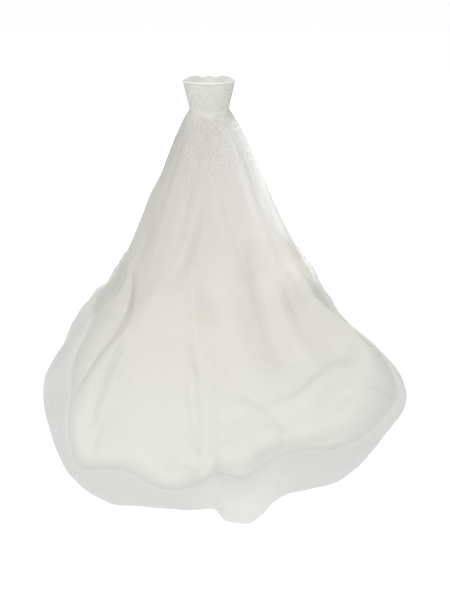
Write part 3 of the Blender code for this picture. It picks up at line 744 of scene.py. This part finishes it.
tulle_grid = folded.copy()
turn = np.radians(skirt_angles)[:, None]
gather = np.zeros(down.shape)
for count, depth_now, begin, full, calm, drift in GATHERS:
    window = smooth((down - begin) / (full - begin)) * smooth((calm - down) / (calm - full))
    beat = np.sin(5 * turn + count) * np.sin(2.3 * turn + 0.3 * count + 1.5 * down)
    uneven = GATHER_MEAN + GATHER_VARIES * beat
    wave = np.sin(count * turn + GATHER_WANDER * np.sin(3 * turn + count) + drift * down)
    gather += depth_now * window * uneven * wave
for count, depth_now, inward in RIPPLES:
    near_hem = smooth(1 - (tulle_lengths - down) / inward)
    gather += depth_now * near_hem * (1 + np.sin(count * turn + RIPPLE_WANDER * np.sin(4 * turn)))
tulle_grid = rest_on_floor(tulle_grid + directions * gather[..., None], lift)
# The mask that lets in the bare net's darker tone reaches far in toward the sides of the train: painted
# shade on the flanks, besides the real end of the satin.
lined_and_flank_shade_edge = around(LINED_EDGE_AND_FLANK_SHADE, skirt_angles)[:, None]
lined_and_lit_share = smooth(LINED_START + (satin_lengths - down) / lined_and_flank_shade_edge)
to_hem = smooth((down / satin_lengths - FADE_FROM) / FADE_OVER)
to_hem = to_hem * np.clip(tulle_lengths - NO_FADE_LENGTH, 0, 1)
lined_and_lit_share *= 1 - (1 - LINED_AT_HEM) * to_hem
from_turned = (skirt_angles[:, None] + 180) % 360 - 180 - TURNED_HEM_ANGLE
turned_up = np.exp(-(from_turned / TURNED_HEM_SPREAD) ** 2)
turned_up = turned_up * smooth(TURNED_HEM_REACH - (tulle_lengths - down) / TURNED_HEM)
lined_and_lit_share = np.maximum(lined_and_lit_share, TURNED_HEM_SHARE * turned_up)
# Darker tone near the top of the skirt, fading out down it with a small lift just under the waist: partly
# the thick beads, partly painted shade on the steep hanging cloth.
beads_and_shade_fade = np.clip(down / TONE_FALL + WAIST_TONE * smooth(1 - down / WAIST_FADE), 0, 1)
# Where the net stands off the satin toward the side it is thinner, and it is also painted a near-white
# tone, a painted glow for light shining through it.
sheer_and_glow = (np.exp(-((stand_angles - SHEER_ANGLE) / SHEER_SPREAD) ** 2)
         * smooth(down / SHEER_FROM - SHEER_START) * smooth((SHEER_TO - down) / SHEER_FADE))
tulle_cloth = cloth_material(
    "soft_tulle", (0.775, 0.773, 0.705), (0.74, 0.738, 0.672), 0.85, 800.0, 0.0003, 0.4, 0.0)
# Past the satin's hem the net is on its own and looks cooler and thinner; its darker tone there, and toward
# the sides of the train, is also painted shade
tree = tulle_cloth.node_tree
shader = tree.nodes["Principled BSDF"]
lined_and_lit_part = add(tree, "ShaderNodeAttribute", attribute_name="lined_and_lit")
alone_and_shade_mix = add(tree, "ShaderNodeMixRGB", Color1=NET_ALONE_AND_SHADE + (1,))
woven_tone = shader.inputs["Base Color"].links[0].from_socket
beads_and_shade_part = add(tree, "ShaderNodeAttribute", attribute_name="beads_and_shade_fade")
sheer_and_glow_part = add(tree, "ShaderNodeAttribute", attribute_name="sheer_and_glow")
sheer_glow_tone = add(tree, "ShaderNodeMixRGB", Color2=NET_SHEER_GLOW + (1,))
outer_part = add(tree, "ShaderNodeAttribute", attribute_name="outer")
thinned = math_node(tree, "MULTIPLY", outer_part.outputs["Fac"], math_node(
    tree, "SUBTRACT", NET_ALPHA, math_node(
        tree, "MULTIPLY", sheer_and_glow_part.outputs["Fac"], NET_ALPHA - SHEER_ALPHA)))
beaded_and_shaded_tone = add(tree, "ShaderNodeMixRGB", Color1=NET_BEADED_AND_SHADED + (1,))
join(tree,
     (lined_and_lit_part, "Fac", alone_and_shade_mix, "Fac"),
     (woven_tone, alone_and_shade_mix, "Color2"),
     (beads_and_shade_part, "Fac", beaded_and_shaded_tone, "Fac"),
     (alone_and_shade_mix, "Color", beaded_and_shaded_tone, "Color2"),
     (beaded_and_shaded_tone, "Color", sheer_glow_tone, "Color1"),
     (sheer_and_glow_part, "Fac", sheer_glow_tone, "Fac"),
     (sheer_glow_tone, "Color", shader, "Base Color"),
     (thinned, shader, "Alpha"))
tulle_directions = round_outward(tulle_grid)
for (node, start, stop, columns, *cut_sizes), first in zip(SKIRT_GORES, gore_starts):
    pick = np.arange(first, first + columns + 1) % len(skirt_angles)
    grid, normals = tulle_grid[pick], tulle_directions[pick]
    gore = gore_cloth("net_" + node, grid, normals, TULLE_WALL)
    for tone, share in (("lined_and_lit", lined_and_lit_share), ("beads_and_shade_fade", beads_and_shade_fade), ("sheer_and_glow", sheer_and_glow)):
        point_values(gore.data, tone, np.tile(share[pick].ravel(), 2))
    point_values(gore.data, "outer", np.repeat([1.0, 0.0], grid.shape[0] * grid.shape[1]))
    gore.data.materials.append(tulle_cloth)
    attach(gore, "root")
    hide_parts("tulle_" + node)
    laced = 1 - smooth((down[pick[::2]] - LACED_FULL) / LACED_FADE)
    thickly = 1 - smooth((down[pick[::2]] - BEADED_FULL) / BEADED_FADE)
    beaded["tulle_" + node] = (gore, "tulle_" + node + "_net", grid[::2], laced, thickly)

# Lace. Small flowers and leaf sprays of corded lace, cut out and stitched over the satin
# panels so closely that they nearly touch. They run on over the waist seam onto the tulle.
LACE_MOTIFS = (
    # kind, petals, petal length, petal width, gap, share of the panel, seed
    ("flowers", 5, 0.0058, 0.0042, 0.0125, 0.9, 3),
    ("leaves", 3, 0.0100, 0.0040, 0.0100, 0.8, 11),
)
LACE_ON_NET = 0.55
PETAL_THICKNESS, MOTIF_CORE, MOTIF_LIFT, MOTIF_DENSITY = 0.0009, 0.0006, 0.0002, 9000.0
MOTIF_LEAST, MOTIF_MOST = 0.75, 1.15


def scatter(name, grid, tree, values, thickly=None):
    """Plain mesh of what a tree scatters over a grid of points, fully where thickly is 1."""
    n, m = grid.shape[:2]
    at = np.arange(n * m).reshape(n, m)
    faces = np.stack([at[:-1, :-1], at[:-1, 1:], at[1:, 1:], at[1:, :-1]], -1).reshape(-1, 4)
    ground = bpy.data.meshes.new(name + "_ground")
    ground.from_pydata(grid.reshape(-1, 3).tolist(), [], faces.tolist())
    share = np.ones(n * m) if thickly is None else thickly.ravel()
    point_values(ground, "thickly", share)
    made = place_object(name, ground)
    modifier = made.modifiers.new("scatter", "NODES")
    modifier.node_group = tree
    sockets = {item.name: item.identifier for item in tree.interface.items_tree if item.in_out == "INPUT"}
    for key, value in values.items():
        modifier[sockets[key]] = value
    evaluated = made.evaluated_get(bpy.context.evaluated_depsgraph_get())
    scattered = bpy.data.meshes.new_from_object(evaluated)
    made.modifiers.remove(modifier)
    made.data = scattered
    bpy.data.meshes.remove(ground)
    scattered.name = name
    return made


def spread_points(tree, given, seed_shift):
    """Points spread over the ground, lifted off it, with a turned rotation and a random size."""
    spread = add(tree, "GeometryNodeDistributePointsOnFaces", distribute_method="POISSON")
    thick = add(tree, "GeometryNodeInputNamedAttribute", data_type="FLOAT", Name="thickly")
    factor = math_node(tree, "MULTIPLY", thick.outputs[0], given.outputs["Share"])
    lift = add(tree, "ShaderNodeVectorMath", operation="SCALE")
    raised = add(tree, "GeometryNodeSetPosition")
    spin = add(tree, "FunctionNodeRandomValue", data_type="FLOAT")
    spin.inputs[3].default_value = 2 * math.pi
    turn_by = add(tree, "FunctionNodeAxisAngleToRotation")
    turned = add(tree, "FunctionNodeRotateRotation", rotation_space="LOCAL")
    size = add(tree, "FunctionNodeRandomValue", data_type="FLOAT")
    size.inputs[8].default_value = seed_shift
    join(tree,
         (given, "Geometry", spread, "Mesh"),
         (given, "Gap", spread, "Distance Min"),
         (given, "Density", spread, "Density Max"),
         (factor, spread, "Density Factor"),
         (given, "Seed", spread, "Seed"), (spread, "Normal", lift, 0),
         (given, "Lift", lift, "Scale"),
         (spread, "Points", raised, "Geometry"),
         (lift, 0, raised, "Offset"), (spin, 1, turn_by, "Angle"),
         (spread, "Rotation", turned, "Rotation"),
         (turn_by, 0, turned, "Rotate By"),
         (given, "Least Size", size, 2), (given, "Most Size", size, 3))
    return raised.outputs["Geometry"], turned.outputs[0], size.outputs[1]


def finish_scatter(tree, given, result, points, shape, rotation, size, smooth_shade):
    """Puts a shape on the points and makes it plain mesh with its material."""
    placed = add(tree, "GeometryNodeInstanceOnPoints")
    real = add(tree, "GeometryNodeRealizeInstances")
    shade = add(tree, "GeometryNodeSetShadeSmooth", Shade_Smooth=smooth_shade)
    painted = add(tree, "GeometryNodeSetMaterial")
    join(tree,
         (points, placed, "Points"), (shape, placed, "Instance"),
         (rotation, placed, "Rotation"), (size, placed, "Scale"),
         (placed, 0, real, 0), (real, 0, shade, 0),
         (shade, 0, painted, 0), (given, "Material", painted, "Material"),
         (painted, 0, result, "Geometry"))


SPREAD_INPUTS = [
    ("Geometry", "NodeSocketGeometry", None), ("Gap", "NodeSocketFloat", 0.012),
    ("Density", "NodeSocketFloat", 9000.0), ("Share", "NodeSocketFloat", 1.0),
    ("Seed", "NodeSocketInt", 0), ("Lift", "NodeSocketFloat", 0.0002),
    ("Least Size", "NodeSocketFloat", 0.8), ("Most Size", "NodeSocketFloat", 1.2),
    ("Material", "NodeSocketMaterial", None),
]
motifs, motif_in, motif_out = node_group(
    "lace_motifs",
    SPREAD_INPUTS + [
        ("Petals", "NodeSocketInt", 5), ("Petal Length", "NodeSocketFloat", 0.005),
        ("Petal Width", "NodeSocketFloat", 0.004), ("Petal Thickness", "NodeSocketFloat", 0.0009)],
    [("Geometry", "NodeSocketGeometry")], "GeometryNodeTree")
# One petal: a ball drawn out to points at both ends, then flattened
ball = add(motifs, "GeometryNodeMeshUVSphere", Segments=8, Rings=3, Radius=1.0)
where = add(motifs, "GeometryNodeInputPosition")
parts = add(motifs, "ShaderNodeSeparateXYZ")
join(motifs, (where, 0, parts, 0))
narrow = math_node(motifs, "SQRT", math_node(
    motifs, "SUBTRACT", 1.0, math_node(motifs, "MULTIPLY", parts.outputs[0], parts.outputs[0]), clamp=True))
pointed = add(motifs, "ShaderNodeCombineXYZ")
pull = add(motifs, "GeometryNodeSetPosition")
halves = add(motifs, "ShaderNodeCombineXYZ")
outset = add(motifs, "ShaderNodeCombineXYZ")
petal = add(motifs, "GeometryNodeTransform")
ring = add(motifs, "GeometryNodeMeshCircle", Radius=MOTIF_CORE)
outward_turn = add(motifs, "FunctionNodeAlignRotationToVector", axis="X")
ring_place = add(motifs, "GeometryNodeInputPosition")
petals = add(motifs, "GeometryNodeInstanceOnPoints")
motif = add(motifs, "GeometryNodeRealizeInstances")
half_length = math_node(motifs, "MULTIPLY", motif_in.outputs["Petal Length"], 0.5)
join(motifs,
     (parts, 0, pointed, 0),
     (math_node(motifs, "MULTIPLY", parts.outputs[1], narrow), pointed, 1),
     (parts, 2, pointed, 2), (ball, 0, pull, "Geometry"),
     (pointed, 0, pull, "Position"), (half_length, halves, 0),
     (math_node(motifs, "MULTIPLY", motif_in.outputs["Petal Width"], 0.5), halves, 1),
     (math_node(motifs, "MULTIPLY", motif_in.outputs["Petal Thickness"], 0.5), halves, 2),
     (half_length, outset, 0), (pull, 0, petal, "Geometry"),
     (halves, 0, petal, "Scale"), (outset, 0, petal, "Translation"),
     (motif_in, "Petals", ring, "Vertices"),
     (ring_place, 0, outward_turn, "Vector"),
     (ring, 0, petals, "Points"), (petal, 0, petals, "Instance"),
     (outward_turn, 0, petals, "Rotation"), (petals, 0, motif, 0))
spread, turned, size = spread_points(motifs, motif_in, 7)
finish_scatter(motifs, motif_in, motif_out, spread, motif.outputs[0], turned, size, True)

lace_thread, tree, shader = new_material("corded_lace")
place = add(tree, "ShaderNodeTexCoord")
cords = add(tree, "ShaderNodeTexNoise", Scale=900.0, Detail=3.0, Roughness=0.6)
tone = add(
    tree, "ShaderNodeMixRGB", Color1=(0.60, 0.60, 0.56, 1), Color2=(0.72, 0.72, 0.68, 1))
bump = add(tree, "ShaderNodeBump", Strength=0.6, Distance=0.0003)
join(tree,
     (place, "Object", cords, "Vector"), (cords, "Fac", tone, "Fac"),
     (tone, "Color", shader, "Base Color"), (cords, "Fac", bump, "Height"),
     (bump, "Normal", shader, "Normal"))
adjust(shader, Roughness=0.7)
for number, (node, (carrier, slot_name, face, laced, thickly)) in enumerate(beaded.items()):
    layers = []
    scale = LACE_ON_NET if node.startswith("tulle") else 1.0
    for kind, count, length, width, gap, share, seed in LACE_MOTIFS:
        layers.append(scatter("lace_" + kind, face, motifs, {
            "Gap": gap, "Density": MOTIF_DENSITY, "Share": share * scale, "Seed": seed + number,
            "Lift": MOTIF_LIFT, "Least Size": MOTIF_LEAST * scale, "Most Size": MOTIF_MOST * scale,
            "Petals": count, "Petal Length": length, "Petal Width": width,
            "Petal Thickness": PETAL_THICKNESS, "Material": lace_thread}, laced))
    with bpy.context.temp_override(active_object=layers[0], selected_editable_objects=layers):
        bpy.ops.object.join()
    lace = layers[0]
    lace.name = lace.data.name = "lace_" + node
    lace.parent = carrier

# Crystals. Small cut glass stones sewn on one by one, thick over the bodice and the top of
# the tulle, then fewer and fewer down the skirt until only single ones are left.
CRYSTAL_GAP, CRYSTAL_DENSITY, CRYSTAL_LIFT, CRYSTAL_FLATNESS = 0.0105, 9000.0, 0.0008, 0.55
CRYSTAL_LEAST, CRYSTAL_MOST, CRYSTAL_ON_NET, CRYSTAL_SHARE = 0.0008, 0.0030, 0.78, 0.9
crystals, crystal_in, crystal_out = node_group(
    "sewn_crystals", SPREAD_INPUTS, [("Geometry", "NodeSocketGeometry")], "GeometryNodeTree")
stone = add(crystals, "GeometryNodeMeshIcoSphere", Radius=1.0, Subdivisions=1)
flattened = add(crystals, "GeometryNodeTransform", Scale=(1, 1, CRYSTAL_FLATNESS))
join(crystals, (stone, 0, flattened, "Geometry"))
spread, turned, size = spread_points(crystals, crystal_in, 5)
finish_scatter(crystals, crystal_in, crystal_out, spread, flattened.outputs[0], turned, size, False)

# Cut glass stones: they are painted from dark to near-white in their colour, painted reflections, since the
# plain white room gives them nothing dark to reflect.
cut_glass, tree, shader = new_material("cut_glass")
place = add(tree, "ShaderNodeTexCoord")
facet_reflections = add(tree, "ShaderNodeTexVoronoi", Scale=220.0)
tone = add(
    tree, "ShaderNodeMixRGB", Color1=(0.12, 0.11, 0.10, 1), Color2=(0.95, 0.95, 0.93, 1))
parts = add(tree, "ShaderNodeSeparateColor")
join(tree,
     (place, "Object", facet_reflections, "Vector"), (facet_reflections, "Color", parts, 0),
     (math_node(tree, "POWER", parts.outputs[0], 2.0), tone, "Fac"),
     (tone, "Color", shader, "Base Color"))
adjust(shader, Roughness=0.16, IOR=1.55)
for number, (node, (carrier, slot_name, face, laced, thickly)) in enumerate(beaded.items()):
    scale = CRYSTAL_ON_NET if node.startswith("tulle") else 1.0
    sewn = scatter("crystals_" + node, face, crystals, {
        "Gap": CRYSTAL_GAP * scale, "Density": CRYSTAL_DENSITY, "Share": CRYSTAL_SHARE, "Seed": number,
        "Lift": CRYSTAL_LIFT, "Least Size": CRYSTAL_LEAST, "Most Size": CRYSTAL_MOST,
        "Material": cut_glass}, thickly)
    sewn.parent = carrier

# Floor, light and camera. A plain pale floor, one large soft light above and to the right,
# and a camera behind the train at standing height.
FLOOR_SIZE, FLOOR_BELOW, FLOOR_GLOW, ROOM_LIGHT = 60.0, 0.0005, 0.45, 0.56
floor_mesh = bpy.data.meshes.new("pale_floor")
half, low = FLOOR_SIZE / 2, -FLOOR_DROP - FLOOR_BELOW
corners = [(-half, -half, low), (half, -half, low), (half, half, low), (-half, half, low)]
floor_mesh.from_pydata(corners, [], [(0, 1, 2, 3)])
floor = place_object("pale_floor", floor_mesh)
floor_material, tree, shader = new_material("pale_floor")
adjust(shader, Base_Color=(0.95, 0.95, 0.95, 1), Roughness=0.9,
       Emission_Color=(1, 1, 1, 1), Emission_Strength=FLOOR_GLOW)
floor_mesh.materials.append(floor_material)

world = bpy.data.worlds.new("soft_room")
world.use_nodes = True
adjust(world.node_tree.nodes["Background"], Color=(1, 1, 1, 1), Strength=ROOM_LIGHT)
bpy.context.scene.world = world
bpy.context.scene.view_settings.view_transform = "Standard"

KEY_PLACE, KEY_AIM, KEY_SIZE, KEY_POWER = (-0.3, -2.9, 5.0), (0.0, -1.4, -1.0), 1.4, 300.0
key_light = bpy.data.lights.new("soft_key", "AREA")
key_light.size = KEY_SIZE
key_light.energy = KEY_POWER
key = place_object("soft_key", key_light)
key.location = KEY_PLACE
aim = [b - a for a, b in zip(KEY_PLACE, KEY_AIM)]
key.rotation_euler = Vector(aim).to_track_quat("-Z", "Y").to_euler()

CAMERA_PLACE = (0.10, -4.20, 0.90)
CAMERA_DOWN = 28.46
CAMERA_LENS = 39.02
camera_data = bpy.data.cameras.new("back_view")
camera_data.sensor_width = 36.0
camera_data.lens = CAMERA_LENS
camera = place_object("back_view", camera_data)
camera.location = CAMERA_PLACE
camera.rotation_euler = (math.radians(90 - CAMERA_DOWN), 0, 0)
bpy.context.scene.camera = camera
